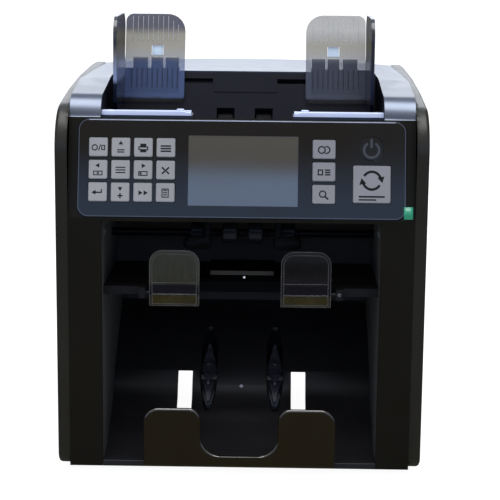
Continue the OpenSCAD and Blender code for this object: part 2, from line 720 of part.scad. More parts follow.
// Vented cover over the rear of the note path, swinging down on two pins
module rear_cover() color([0.09, 0.09, 0.095]) {
    difference() {
        block(-seam_x + 0.6, seam_x - 0.6, case_d - 5, case_d - 1, 60, 238);
        for (z = [150:7:206]) block(-62, 62, case_d - 6, case_d, z, z + 2.6);
        both() block(115.5, 120.5, case_d - 6, case_d, 59, cover_at[1] + 10);
        block(-24, 24, case_d - 2.4, case_d, 222, 236);
    }
    both() difference() {
        block(108, 114.5, cover_at[0] - 5, case_d - 4.9, cover_at[1] - 4, cover_at[1] + 12);
        bar(107, 116, cover_at, axle_r + running);
    }
}

// Clear stop flap of the reject pocket, right-hand one, hung on the shelf's rod
module flap_body() {
    outline = concat(arc(32, 130.3, 2.5, 180, 270, 4), arc(64.3, 130.3, 2.5, 270, 360, 4),
        arc(56.8, 160, 10, 0, 80, 7), arc(39.5, 160, 10, 100, 180, 7));
    difference() {
        backward(3.4, 5.4) polygon(outline);
        backward(2, 4.4) polygon(concat([[32, 137], [64.3, 137]], arc(64.3 - 8, 159.6, 8, 0, 80, 6),
            arc(40, 159.6, 8, 100, 180, 6)));
    }
    for (x = [37:5.6:60]) block(x - 0.5, x + 0.5, 3.6, 4.5, 142, 163);
    for (x = [31, 60.5]) difference() {
        union() {
            bar(x, x + 4.5, flap_at, 3.6);
            block(x, x + 4.5, 5, flap_at[0], flap_at[1] - 3, flap_at[1] + 3);
        }
        bar(x - 1, x + 6, flap_at, axle_r + running);
    }
}

module right_flap() color([0.7, 0.72, 0.7, 0.4]) flap_body();
module left_flap() color([0.7, 0.72, 0.7, 0.4]) translate([-0.8, 0, 0]) mirror([1, 0, 0]) flap_body();

// Cross-head screws of the pocket walls, the base and the rear
module screws() color([0.55, 0.56, 0.58]) {
    both() for (d = [20, 30])
        translate([half_pocket - 0.6, front_y + d, 180]) rotate([0, 90, 0]) difference() {
        union() {
            cylinder(h = 0.6, r = 2.6);
            cylinder(h = 6, r = 1.5);
        }
        translate([-0.3, -1.2, -1]) cube([0.6, 2.4, 1.4]);
        translate([-1.2, -0.3, -1]) cube([2.4, 0.6, 1.4]);
    }
}

base_tray();
feet();
front_frame();
left_side_cover();
right_side_cover();
top_cover();
hopper_front_lip();
hopper_floor();
hopper_back_plate();
panel_fascia();
lcd_glass();
lcd_module();
key_boards();
frame_plates();
pocket_liners();
reject_shelf();
reject_back_wall();
stacker_housing();
stacker_front_plate();
image_sensors();
main_motor();
stacker_motor();
drive_belts();
main_board();
power_supply();
power_inlet();
screws();
left_guide();
left_guide_window();
right_guide();
right_guide_window();
guide_pinion();
pickup_shaft();
feed_shaft();
transport_shaft();
exit_shaft();
exit_pressers();
stacker_shaft();
diverter();
left_flap();
right_flap();
rear_cover();
power_rocker();
power_key();
restart_key();
for (i = [1:3]) mode_key(i);
for (i = [1:12]) keypad_key(i - 1);
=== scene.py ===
"""Banknote counting machine: looks, small details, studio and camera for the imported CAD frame."""

import math

import bmesh
import bpy
from mathutils import Matrix, Vector


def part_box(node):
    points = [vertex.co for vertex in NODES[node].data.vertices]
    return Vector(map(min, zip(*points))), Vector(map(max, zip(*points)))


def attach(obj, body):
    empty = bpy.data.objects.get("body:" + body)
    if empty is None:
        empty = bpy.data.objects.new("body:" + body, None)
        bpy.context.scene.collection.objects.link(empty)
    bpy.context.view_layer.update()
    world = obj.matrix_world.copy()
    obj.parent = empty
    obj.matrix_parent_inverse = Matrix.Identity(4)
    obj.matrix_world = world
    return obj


MM = 0.001
FASCIA_LEAN = math.radians(14.13)
FASCIA_T = 2.6 * MM
KEY_PROUD = 1.5 * MM
POWER_KEY_PROUD = 0.3 * MM
GUIDE_LEAN = math.radians(19.3)

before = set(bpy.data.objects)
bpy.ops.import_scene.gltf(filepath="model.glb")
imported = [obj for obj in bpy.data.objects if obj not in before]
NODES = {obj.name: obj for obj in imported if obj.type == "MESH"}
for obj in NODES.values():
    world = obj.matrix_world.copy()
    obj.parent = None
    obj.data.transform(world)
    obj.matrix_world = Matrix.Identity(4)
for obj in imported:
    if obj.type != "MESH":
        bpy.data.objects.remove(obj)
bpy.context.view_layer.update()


# ---- Places worked out from the frame ----


def facing_front(x, y, z, lean=0.0):
    """Places flat pieces on a plane that leans back: their x across, y up the plane, z out of it."""
    up = Vector((0, math.sin(lean), math.cos(lean)))
    out = Vector((0, -math.cos(lean), math.sin(lean)))
    return Matrix(((1, 0, 0, x), (0, up.y, out.y, y), (0, up.z, out.z, z), (0, 0, 0, 1)))


def facing_rear(x, y, z):
    """Places flat pieces on an upright plane that faces the rear."""
    return Matrix(((-1, 0, 0, x), (0, 0, 1, y), (0, 1, 0, z), (0, 0, 0, 1)))


FASCIA_LO, FASCIA_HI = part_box("panel_fascia")
FASCIA_FOOT = Vector((0, FASCIA_LO[1], FASCIA_LO[2] + FASCIA_T * math.sin(FASCIA_LEAN)))
FASCIA_LENGTH = (FASCIA_HI[2] - FASCIA_FOOT.z) / math.cos(FASCIA_LEAN)
ON_FASCIA = facing_front(*FASCIA_FOOT, FASCIA_LEAN)
FRONT_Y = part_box("front_frame")[0][1]
ON_GUIDES = facing_front(0, FRONT_Y + 97 * MM, 222 * MM, GUIDE_LEAN)


def middle(node):
    """Centre of a node's box."""
    lo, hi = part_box(node)
    return (Vector(lo) + Vector(hi)) / 2


def on_slope(node, proud):
    """Places a legend on the face of a key, which stands proud of the fascia."""
    centre = ON_FASCIA.inverted() @ middle(node)
    return ON_FASCIA @ Matrix.Translation((centre.x, centre.y, proud))


# ---- Materials ----


class Shader:
    """A node material with one Principled shader and a few shorthand helpers."""

    def __init__(self, name):
        self.material = bpy.data.materials.new(name)
        self.material.use_nodes = True
        self.tree = self.material.node_tree
        self.shader = self.tree.nodes["Principled BSDF"]
        self.places = self.tree.nodes.new("ShaderNodeTexCoord").outputs
        self.coords = self.places["Object"]

    def set(self, **values):
        """Sets the shader's own values, with _ for each space in their names."""
        for name, value in values.items():
            self.shader.inputs[name.replace("_", " ")].default_value = value
        return self

    def link(self, source, socket):
        """Feeds a texture to the shader."""
        self.tree.links.new(source, self.shader.inputs[socket])

    def along(self, axis):
        """Position on the piece from 0 to 1 of its box, along one axis."""
        box = self.tree.nodes.new("ShaderNodeSeparateXYZ")
        self.tree.links.new(self.places["Generated"], box.inputs["Vector"])
        return box.outputs[axis]

    def noise(self, scale, detail=3.0, stretch=(1, 1, 1)):
        """Cloudy texture on the piece, from 0 to 1."""
        mapping = self.tree.nodes.new("ShaderNodeMapping")
        mapping.inputs["Scale"].default_value = stretch
        noise = self.tree.nodes.new("ShaderNodeTexNoise")
        noise.inputs["Scale"].default_value = scale
        noise.inputs["Detail"].default_value = detail
        self.tree.links.new(self.coords, mapping.inputs["Vector"])
        self.tree.links.new(mapping.outputs["Vector"], noise.inputs["Vector"])
        return noise.outputs["Fac"]

    def ramp(self, source, stops):
        """Colour ramp through stops of (position, colour)."""
        ramp = self.tree.nodes.new("ShaderNodeValToRGB")
        while len(ramp.color_ramp.elements) < len(stops):
            ramp.color_ramp.elements.new(0.5)
        for element, (position, colour) in zip(ramp.color_ramp.elements, stops):
            element.position = position
            element.color = (*colour, 1)
        self.tree.links.new(source, ramp.inputs["Fac"])
        return ramp.outputs["Color"]

    def spread(self, source, low, high, start=0.3, end=0.7):
        """Maps a texture onto the values low to high."""
        remap = self.tree.nodes.new("ShaderNodeMapRange")
        remap.inputs["From Min"].default_value = start
        remap.inputs["From Max"].default_value = end
        remap.inputs["To Min"].default_value = low
        remap.inputs["To Max"].default_value = high
        self.tree.links.new(source, remap.inputs["Value"])
        return remap.outputs["Result"]

    def bump(self, source, strength, distance):
        """Raises the surface by a texture."""
        bump = self.tree.nodes.new("ShaderNodeBump")
        bump.inputs["Strength"].default_value = strength
        bump.inputs["Distance"].default_value = distance
        self.tree.links.new(source, bump.inputs["Height"])
        self.link(bump.outputs["Normal"], "Normal")


def shade(colour, factor):
    """A darker or lighter version of a colour."""
    return tuple(c * factor for c in colour)


def greys(stops):
    """Turns stops of (position, level) into stops of (position, grey)."""
    return [(position, (level,) * 3) for position, level in stops]


def moulded(name, colour, rough, grain=0.25, specular=0.5):
    """Moulded plastic: fine spark-eroded grain, faint handling marks and slow tone drift."""
    s = Shader(name).set(Specular_IOR_Level=specular)
    tones = [(0.35, shade(colour, 0.94)), (0.65, shade(colour, 1.07))]
    s.link(s.ramp(s.noise(14, 4), tones), "Base Color")
    s.link(s.spread(s.noise(55, 5), rough - 0.015, rough + 0.025), "Roughness")
    s.bump(s.noise(2600, 2), grain, 0.00005)
    return s.material


def tint_shine(material, index, tint):
    """Gives a plastic a stronger reflection with a tint."""
    shader = material.node_tree.nodes["Principled BSDF"]
    shader.inputs["IOR"].default_value = index
    shader.inputs["Specular Tint"].default_value = (*tint, 1)


def painted_top_sheen(material):
    """Adds a painted highlight: a shiny coat only where a plastic part faces up, so that its tops catch the
    light from above.
    """
    tree = material.node_tree
    shader = tree.nodes["Principled BSDF"]
    facing = tree.nodes.new("ShaderNodeSeparateXYZ")
    tree.links.new(tree.nodes["Texture Coordinate"].outputs["Normal"], facing.inputs["Vector"])
    coat = tree.nodes.new("ShaderNodeMapRange")
    coat.inputs["From Min"].default_value = 0.15
    coat.inputs["From Max"].default_value = 0.6
    tree.links.new(facing.outputs["Z"], coat.inputs["Value"])
    tree.links.new(coat.outputs["Result"], shader.inputs["Coat Weight"])
    shader.inputs["Coat Roughness"].default_value = 0.12
    shader.inputs["Coat IOR"].default_value = 1.8


def glossy(name, colour, rough, coat=0.0, specular=0.5):
    """Polished plastic with faint wipe marks and a very slight orange peel."""
    s = Shader(name).set(Specular_IOR_Level=specular, Coat_Weight=coat, Coat_Roughness=0.04)
    tones = [(0.3, shade(colour, 0.85)), (0.7, shade(colour, 1.15))]
    s.link(s.ramp(s.noise(30, 3), tones), "Base Color")
    s.link(s.spread(s.noise(22, 6, (1, 4, 1)), rough, rough + 0.05), "Roughness")
    s.bump(s.noise(160, 2), 0.02, 0.0001)
    return s.material


def painted_light_by_height(name, tones, shine, rough):
    """Polished plastic with painted shade and painted reflection, its tone and shine following the height
    on the piece.
    """
    s = Shader(name)
    height = s.along("Z")
    s.link(s.ramp(height, tones), "Base Color")
    s.link(s.ramp(height, greys(shine)), "Specular IOR Level")
    s.link(s.spread(s.noise(22, 6, (1, 4, 1)), rough, rough + 0.06), "Roughness")
    s.bump(s.noise(160, 2), 0.02, 0.0001)
    return s.material


def screen_glass():
    """Unlit grey-green display behind its cover glass, with the faint cell structure of the panel."""
    s = Shader("screen glass").set(IOR=2.25)
    cells = s.tree.nodes.new("ShaderNodeTexWave")
    cells.inputs["Scale"].default_value = 900
    s.tree.links.new(s.coords, cells.inputs["Vector"])
    tones = [(0.2, (0.012, 0.011, 0.007)), (0.8, (0.016, 0.015, 0.010))]
    s.link(s.ramp(cells.outputs["Fac"], tones), "Base Color")
    s.link(s.spread(s.noise(18, 5), 0.05, 0.1), "Roughness")
    return s.material


def brushed(name, colour, rough, stretch=(1, 60, 60)):
    """Brushed or rolled metal, with lines along one axis."""
    s = Shader(name).set(Metallic=1.0)
    lines = s.noise(40, 4, stretch)
    s.link(s.ramp(lines, [(0.3, shade(colour, 0.75)), (0.7, colour)]), "Base Color")
    s.link(s.spread(lines, rough - 0.06, rough + 0.1), "Roughness")
    s.bump(lines, 0.15, 0.00004)
    return s.material


def rubber(name, colour):
    """Matt rubber, ground smooth, with a dusting of paper lint."""
    s = Shader(name).set(Specular_IOR_Level=0.08)
    lint = s.noise(420, 5)
    s.link(s.ramp(lint, [(0.55, colour), (0.75, shade(colour, 1.8))]), "Base Color")
    s.link(s.spread(s.noise(90, 3), 0.6, 0.85), "Roughness")
    s.bump(s.noise(1500, 3), 0.4, 0.00008)
    return s.material


def shelf_plastic_painted_shade():
    """Black shelf plastic with painted shade over its set-back middle, which is made darker and less shiny.
    """
    s = Shader("shelf plastic")
    centre, reach = 0.5, 0.22
    within = s.tree.nodes.new("ShaderNodeMath")
    within.operation = "COMPARE"
    within.inputs[1].default_value = centre
    within.inputs[2].default_value = reach
    s.tree.links.new(s.along("X"), within.inputs[0])
    is_middle = within.outputs["Value"]
    # Painted shade: the middle is near black and barely reflects, as the recess there lies in shadow.
    tones = [(0.0, (0.0055, 0.0050, 0.0055)), (1.0, (0.0006, 0.0006, 0.0008))]
    s.link(s.ramp(is_middle, tones), "Base Color")
    s.link(s.ramp(is_middle, greys([(0.0, 0.2), (1.0, 0.03)])), "Specular IOR Level")
    s.link(s.spread(s.noise(55, 5), 0.4, 0.5), "Roughness")
    s.bump(s.noise(2600, 2), 0.25, 0.00005)
    return s.material


def circuit(name):
    """Solder-masked board with darker copper runs under the mask."""
    s = Shader(name).set(Roughness=0.35, Coat_Weight=0.3)
    bricks = s.tree.nodes.new("ShaderNodeTexBrick")
    bricks.inputs["Scale"].default_value = 120
    bricks.inputs["Mortar Size"].default_value = 0.03
    bricks.inputs["Color1"].default_value = (0.012, 0.09, 0.035, 1)
    bricks.inputs["Color2"].default_value = (0.014, 0.11, 0.045, 1)
    bricks.inputs["Mortar"].default_value = (0.05, 0.2, 0.08, 1)
    s.tree.links.new(s.coords, bricks.inputs["Vector"])
    s.link(bricks.outputs["Color"], "Base Color")
    s.bump(bricks.outputs["Fac"], 0.2, 0.00005)
    return s.material


def clear(name, colours, alphas, rough):
    """Clear plastic whose tint and density change with height, lightly scuffed."""
    s = Shader(name).set(Coat_Weight=0.25, Coat_Roughness=0.05, IOR=1.5)
    blur = 0.05
    height = s.tree.nodes.new("ShaderNodeMath")
    height.operation = "MULTIPLY_ADD"
    height.inputs[1].default_value = blur
    s.tree.links.new(s.noise(70, 3), height.inputs[0])
    s.tree.links.new(s.along("Z"), height.inputs[2])
    s.link(s.ramp(height.outputs["Value"], colours), "Base Color")
    s.link(s.ramp(height.outputs["Value"], greys(alphas)), "Alpha")
    s.link(s.spread(s.noise(60, 6, (1, 1, 6)), rough, rough + 0.12), "Roughness")
    s.bump(s.noise(220, 3), 0.05, 0.0001)
    return s.material


def film(name, colour, alpha, rough):
    """Moulded line or tinted patch on clear plastic."""
    s = Shader(name).set(Alpha=alpha, Coat_Weight=0.3, IOR=1.5)
    tones = [(0.3, shade(colour, 0.75)), (0.7, shade(colour, 1.25))]
    s.link(s.ramp(s.noise(90, 3), tones), "Base Color")
    s.link(s.spread(s.noise(60, 6), rough, rough + 0.12), "Roughness")
    s.bump(s.noise(400, 3), 0.05, 0.0001)
    return s.material


def lamp(name, colour, strength):
    """Small moulded indicator lens, glowing unevenly from the chip behind it."""
    s = Shader(name).set(Roughness=0.15, Coat_Weight=0.6, Emission_Strength=strength)
    glow = s.ramp(s.noise(900, 2), [(0.3, shade(colour, 0.7)), (0.7, colour)])
    s.link(glow, "Base Color")
    s.link(glow, "Emission Color")
    return s.material


CASE = moulded("case plastic", (0.0062, 0.0053, 0.0032), 0.36, specular=0.12)
COVER = moulded("side cover plastic", (0.0125, 0.0112, 0.0074), 0.36, grain=0.35, specular=0.28)
TOP = moulded("top cover plastic", (0.0055, 0.0060, 0.0085), 0.32, grain=0.06, specular=1.0)
tint_shine(TOP, 1.7, (0.70, 0.80, 1.0))
LINING = moulded("pocket lining", (0.049, 0.050, 0.047), 0.5, specular=0.25)
WALL = moulded("pocket rear wall", (0.042, 0.038, 0.036), 0.5, specular=0.2)
INNER = moulded("inner mouldings", (0.0080, 0.0075, 0.0085), 0.42, specular=0.42)
SHELF = shelf_plastic_painted_shade()
# Near-black presser plastic that also stands in for shade: the exit pressers sit where the pocket is in
# shadow, and the rear wall below the shelf takes it as painted shade.
PRESSER_BLACK_AND_SHADE = moulded("presser black and painted shade", (0.002, 0.002, 0.0024), 0.5, specular=0.15)
HOPPER = moulded("hopper plastic", (0.0045, 0.0050, 0.0095), 0.36, specular=0.2)
# Painted shade and reflection: the right guide's outer plate is darker and duller towards its foot, bluish
# a little above it.
SIDE_PLATE = painted_light_by_height(
    "guide side plate",
    [(0.0, (0.003, 0.004, 0.010)), (0.35, (0.010, 0.013, 0.030)), (0.6, (0.012, 0.012, 0.016))],
    [(0.15, 0.12), (0.35, 0.3), (0.5, 0.5)], 0.14)
# Painted reflection: a bright blue-grey band across the left guide's outer plate, above a dark, dull foot.
LEFT_PLATE = painted_light_by_height(
    "left guide side plate",
    [(0.0, (0.002, 0.004, 0.012)), (0.33, (0.004, 0.006, 0.016)), (0.38, (0.18, 0.22, 0.36)),
     (0.5, (0.16, 0.19, 0.27)), (0.62, (0.11, 0.106, 0.12)), (0.72, (0.022, 0.022, 0.025)),
     (1.0, (0.026, 0.028, 0.034))],
    [(0.25, 0.2), (0.4, 0.5)], 0.14)
EARS = moulded("front plate plastic", (0.0100, 0.0070, 0.0020), 0.24, specular=0.4)
# Painted highlight: a shiny coat on the front plate's upward faces, brightest along the tops of its ears.
painted_top_sheen(EARS)
FASCIA = glossy("fascia acrylic", (0.0016, 0.0016, 0.0018), 0.035)
# Painted highlights on the fascia's edges: bright along the top, dimmer round the sides and foot.
FASCIA_TOP_HIGHLIGHT = glossy("fascia top edge, painted highlight", (0.34, 0.37, 0.48), 0.3)
FASCIA_EDGE_HIGHLIGHT = glossy("fascia edge, dimmer painted highlight", (0.042, 0.048, 0.070), 0.3)
SCREEN = screen_glass()
KEYS = moulded("key grey", (0.225, 0.222, 0.225), 0.42, grain=0.12, specular=0.5)
FUNCTION_KEYS = moulded("function key grey", (0.178, 0.174, 0.186), 0.42, grain=0.12, specular=0.5)
GLOSS_BLACK = glossy("power key black", (0.0025, 0.0025, 0.003), 0.06)
SYMBOL = glossy("power symbol grey", (0.03, 0.032, 0.038), 0.12)
INK = moulded("legend ink", (0.004, 0.004, 0.005), 0.6, grain=0.05, specular=0.2)
SILVER = moulded("silver trim paint", (0.62, 0.68, 0.90), 0.34, grain=0.05, specular=0.8)
STEEL = brushed("zinc-plated steel", (0.55, 0.56, 0.58), 0.35)
DARK_STEEL = brushed("blackened steel", (0.06, 0.06, 0.065), 0.4)
MOTOR = brushed("motor can", (0.42, 0.43, 0.45), 0.32, (60, 1, 1))
ALUMINIUM = brushed("aluminium case", (0.66, 0.67, 0.69), 0.38)
VIOLET, SMOKE, BEIGE = (0.060, 0.060, 0.088), (0.15, 0.152, 0.148), (0.17, 0.155, 0.105)
BLUE, DARK_BLUE, CLOUDY = (0.065, 0.105, 0.24), (0.06, 0.075, 0.115), (0.16, 0.17, 0.19)
FOOT_DARK = (0.008, 0.009, 0.012)
LEFT_CLEAR = clear(
    "left guide clear plastic",
    [(0.0, FOOT_DARK), (0.06, FOOT_DARK), (0.09, BLUE), (0.47, BLUE), (0.53, CLOUDY), (0.66, BEIGE),
     (0.79, BEIGE), (0.87, VIOLET)],
    [(0.0, 0.25), (0.06, 0.25), (0.09, 0.5), (0.47, 0.5), (0.53, 0.6), (0.68, 0.62), (0.79, 0.66),
     (0.87, 0.85)], 0.08)
RIGHT_CLEAR = clear(
    "right guide clear plastic",
    [(0.0, FOOT_DARK), (0.06, FOOT_DARK), (0.09, DARK_BLUE), (0.47, DARK_BLUE), (0.53, CLOUDY),
     (0.66, BEIGE), (0.81, SMOKE)],
    [(0.0, 0.25), (0.06, 0.25), (0.09, 0.5), (0.47, 0.5), (0.53, 0.58), (0.68, 0.6), (0.86, 0.46),
     (1.0, 0.48)], 0.08)
LATCH = film("guide latch tab", (0.45, 0.56, 0.68), 0.8, 0.2)
LEFT_FLAP = clear(
    "left flap clear plastic",
    [(0.0, (0.016, 0.0135, 0.006)), (0.2, (0.016, 0.0135, 0.006)), (0.24, (0.0040, 0.0036, 0.0066)),
     (0.39, (0.0040, 0.0036, 0.0066)), (0.43, (0.026, 0.026, 0.017)), (0.9, (0.028, 0.029, 0.023))],
    [(0.0, 0.9), (0.9, 0.9), (1.0, 0.8)], 0.16)
RIGHT_FLAP = clear(
    "right flap clear plastic",
    [(0.0, (0.016, 0.0130, 0.006)), (0.2, (0.016, 0.0130, 0.006)), (0.24, (0.0040, 0.0034, 0.0062)),
     (0.39, (0.0040, 0.0034, 0.0062)), (0.43, (0.010, 0.009, 0.010)), (0.7, (0.0046, 0.0043, 0.005)),
     (0.95, (0.010, 0.010, 0.011))],
    [(0.0, 0.9), (0.43, 0.85), (0.7, 0.7), (1.0, 0.8)], 0.16)
FLAP_LINE = film("flap moulded line", (0.085, 0.085, 0.085), 0.7, 0.14)
FLAP_FOOT = film("flap foot, olive", (0.021, 0.0165, 0.003), 0.92, 0.2)
# Painted highlight and painted shade: lit and shaded copies of the clear guides' rib edges.
RIB_EDGE_HIGHLIGHT = film("guide rib edge, painted highlight", (0.5, 0.51, 0.52), 0.45, 0.1)
RIB_EDGE_SHADE = film("guide rib over carrier, painted shade", (0.01, 0.015, 0.03), 0.5, 0.12)
BAR_EDGE = moulded("shelf bar edge", (0.024, 0.022, 0.018), 0.4)
FAN = moulded("fan wheel plastic", (0.034, 0.034, 0.042), 0.32)
GEAR = moulded("gear nylon", (0.62, 0.60, 0.54), 0.45, grain=0.1)
ROLLER = rubber("roller rubber", (0.005, 0.005, 0.006))
EXIT_ROLLER = glossy("exit roller", (0.006, 0.006, 0.009), 0.22)
# Painted shade: the exit shaft is made near black and dull, as it sits in the pocket's shadow.
EXIT_SHAFT_SHADE = glossy("exit shaft, painted shade", (0.002, 0.002, 0.003), 0.3, specular=0.12)
FOOT = rubber("foot rubber", (0.012, 0.012, 0.012))
BELT = rubber("belt rubber", (0.01, 0.01, 0.01))
BOARD = circuit("circuit board")
ROCKER = glossy("rocker red", (0.30, 0.012, 0.01), 0.15, 0.4)
FILM = glossy("protective film tab", (0.02, 0.22, 0.12), 0.25)
BRASS = brushed("contact pins", (0.75, 0.68, 0.5), 0.3)
LENS = lamp("sensor lens", (0.85, 0.85, 0.95), 0.35)
DIM_LENS = lamp("stacker sensor lens", (0.30, 0.30, 0.32), 0.2)

NODE_MATERIAL = {
    "base_tray": INNER, "feet": FOOT, "front_frame": CASE, "left_side_cover": COVER,
    "right_side_cover": COVER, "top_cover": TOP, "hopper_front_lip": SILVER, "hopper_floor": HOPPER,
    "hopper_back_plate": HOPPER, "panel_fascia": FASCIA, "lcd_glass": SCREEN, "lcd_module": DARK_STEEL,
    "key_boards": BOARD, "frame_plates": DARK_STEEL, "pocket_liners": LINING, "reject_shelf": SHELF,
    "reject_back_wall": WALL, "exit_pressers": PRESSER_BLACK_AND_SHADE, "stacker_housing": INNER,
    "stacker_front_plate": EARS, "image_sensors": INNER, "main_motor": MOTOR, "stacker_motor": MOTOR,
    "drive_belts": BELT,
    "main_board": BOARD, "power_supply": ALUMINIUM, "power_inlet": CASE, "screws": STEEL,
    "left_guide": HOPPER, "right_guide": HOPPER, "left_guide_window": LEFT_CLEAR,
    "right_guide_window": RIGHT_CLEAR, "guide_pinion": GEAR, "pickup_shaft": ROLLER,
    "feed_shaft": ROLLER, "transport_shaft": ROLLER, "exit_shaft": EXIT_SHAFT_SHADE, "stacker_shaft": FAN,
    "mode_key_1": FUNCTION_KEYS, "mode_key_2": FUNCTION_KEYS, "mode_key_3": FUNCTION_KEYS,
    "restart_key": FUNCTION_KEYS, "diverter": INNER, "left_flap": LEFT_FLAP,
    "right_flap": RIGHT_FLAP, "rear_cover": CASE, "power_rocker": ROCKER, "power_key": GLOSS_BLACK,
}

EDGE_RADIUS = {
    "front_frame": 0.8, "top_cover": 0.9, "stacker_front_plate": 1.9, "panel_fascia": 0.7,
    "reject_shelf": 0.5, "hopper_back_plate": 0.4, "hopper_floor": 0.5, "rear_cover": 0.8,
    "base_tray": 0.4, "left_guide": 0.5, "right_guide": 0.5, "left_guide_window": 0.35,
    "right_guide_window": 0.35, "left_flap": 0.4, "right_flap": 0.4, "hopper_front_lip": 0.3,
    "pocket_liners": 0.4, "power_inlet": 0.5, "power_rocker": 0.5, "stacker_housing": 0.4,
    "reject_back_wall": 0.4, "restart_key": 0.45, "power_key": 0.2, "stacker_shaft": 0.25,
}
KEY_EDGE = 0.4
LARGE_EDGE = 1.5
SHARP_ANGLE = math.radians(38)
WELD_GAP = 0.01 * MM
SIDE_PLATE_X = 94.5 * MM
APRON_Z = 140 * MM


def on_side_plate(centre):
    """Whether a guide's face belongs to its outer plate."""
    return abs(centre.x) > SIDE_PLATE_X


def on_apron(centre):
    """Whether a face of the upper pocket's rear wall hangs below the shelf, where it gets painted shade."""
    return centre.z < APRON_Z


SECOND_MATERIAL = {
    "left_guide": (LEFT_PLATE, on_side_plate), "right_guide": (SIDE_PLATE, on_side_plate),
    # Painted shade: the rear wall's faces below the shelf take the near-black material.
    "reject_back_wall": (PRESSER_BLACK_AND_SHADE, on_apron),
}


def soften(node, radius):
    """Rounds a node's sharp edges."""
    bevel = node.modifiers.new("soft edges", "BEVEL")
    bevel.width = radius * MM
    bevel.segments = 4 if radius > LARGE_EDGE else 2
    bevel.limit_method = "ANGLE"
    bevel.angle_limit = SHARP_ANGLE
    bevel.use_clamp_overlap = radius < LARGE_EDGE


def dress_node(name, node):
    """Gives a CAD node its materials, softened edges and smooth shading, the flat fascia apart."""
    flat = name == "panel_fascia"
    node.data.materials.clear()
    node.data.materials.append(NODE_MATERIAL.get(name, KEYS))
    for polygon in node.data.polygons:
        polygon.use_smooth = not flat
    if name in SECOND_MATERIAL:
        material, applies = SECOND_MATERIAL[name]
        node.data.materials.append(material)
        for polygon in node.data.polygons:
            polygon.material_index = int(applies(node.matrix_world @ polygon.center))
    weld = node.modifiers.new("weld", "WELD")
    weld.merge_threshold = WELD_GAP
    is_key = "key" in name and name != "key_boards"
    radius = EDGE_RADIUS.get(name, KEY_EDGE if is_key else 0)
    if radius:
        soften(node, radius)
    if not flat:
        normals = node.modifiers.new("face normals", "WEIGHTED_NORMAL")
        normals.keep_sharp = True
        normals.use_face_influence = True


# ---- Mesh code ----


def piece(name, mesh_builder, material, body, place, bevel=0.0, smooth=False):
    """Makes one piece from a bmesh builder, in millimetres, and puts it in place on its body."""
    bm = bmesh.new()
    mesh_builder(bm)
    bmesh.ops.recalc_face_normals(bm, faces=bm.faces)
    mesh = bpy.data.meshes.new(name)
    bm.to_mesh(mesh)
    bm.free()
    mesh.transform(place @ Matrix.Scale(MM, 4))
    for polygon in mesh.polygons:
        polygon.use_smooth = smooth
    mesh.materials.append(material)
    made = bpy.data.objects.new(name, mesh)
    bpy.context.scene.collection.objects.link(made)
    if bevel:
        edge = made.modifiers.new("soft edges", "BEVEL")
        edge.width = bevel * MM
        edge.segments = 2
        edge.limit_method = "ANGLE"
    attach(made, body)


def prism(bm, outline, low, high):
    """Adds a flat-ended prism on an outline."""
    bottom = [bm.verts.new((x, y, low)) for x, y in outline]
    top = [bm.verts.new((x, y, high)) for x, y in outline]
    bm.faces.new(list(reversed(bottom)))
    bm.faces.new(top)
    count = len(outline)
    for i in range(count):
        j = (i + 1) % count
        bm.faces.new((bottom[i], bottom[j], top[j], top[i]))


def prisms(outlines, low, high):
    """Builder for several prisms between the same two levels."""

    def build(bm):
        for outline in outlines:
            prism(bm, outline, low, high)

    return build


def arc(x, y, radius, start, end, count=10):
    """Points along an arc, with its angles in degrees."""
    angles = [math.radians(start + (end - start) * i / count) for i in range(count + 1)]
    return [(x + radius * math.cos(a), y + radius * math.sin(a)) for a in angles]


def box2(x0, y0, x1, y1):
    """Rectangle between two corners."""
    return [(x0, y0), (x1, y0), (x1, y1), (x0, y1)]


def disc(x, y, radius, count=24):
    """Full circle."""
    return arc(x, y, radius, 0, 360 - 360 / count, count - 1)


def band(x, y, inner, outer, start, end, count=16):
    """Part of a flat ring."""
    return arc(x, y, outer, start, end, count) + arc(x, y, inner, end, start, count)


def ring(x, y, inner, outer):
    """Flat ring in two halves."""
    return [band(x, y, inner, outer, a, a + 179.5) for a in (0, 180)]


def outline_box(x0, y0, x1, y1, line):
    """Four strokes round a rectangle."""
    return [
        box2(x0, y0, x1, y0 + line), box2(x0, y1 - line, x1, y1),
        box2(x0, y0 + line, x0 + line, y1 - line), box2(x1 - line, y0 + line, x1, y1 - line),
    ]


def arrow(x, y, size, direction):
    """Solid triangle that points in a direction, in degrees."""
    return [
        (x + size * math.cos(math.radians(direction + a)), y + size * math.sin(math.radians(direction + a)))
        for a in (0, 120, 240)
    ]


def stroke(x0, y0, x1, y1, line):
    """Straight stroke between two points."""
    run = Vector((x1 - x0, y1 - y0)).normalized() * line / 2
    side = Vector((-run.y, run.x))
    corners = [(x0, y0), (x1, y1), (x1, y1), (x0, y0)]
    return [(p[0] + s * side.x, p[1] + s * side.y) for p, s in zip(corners, (-1, -1, 1, 1))]


# ---- Key legends: plain pictograms ----


def rows(x0, x1, levels, line=0.8):
    """Level strokes one above the other."""
    return [box2(x0, y, x1, y + line) for y in levels]


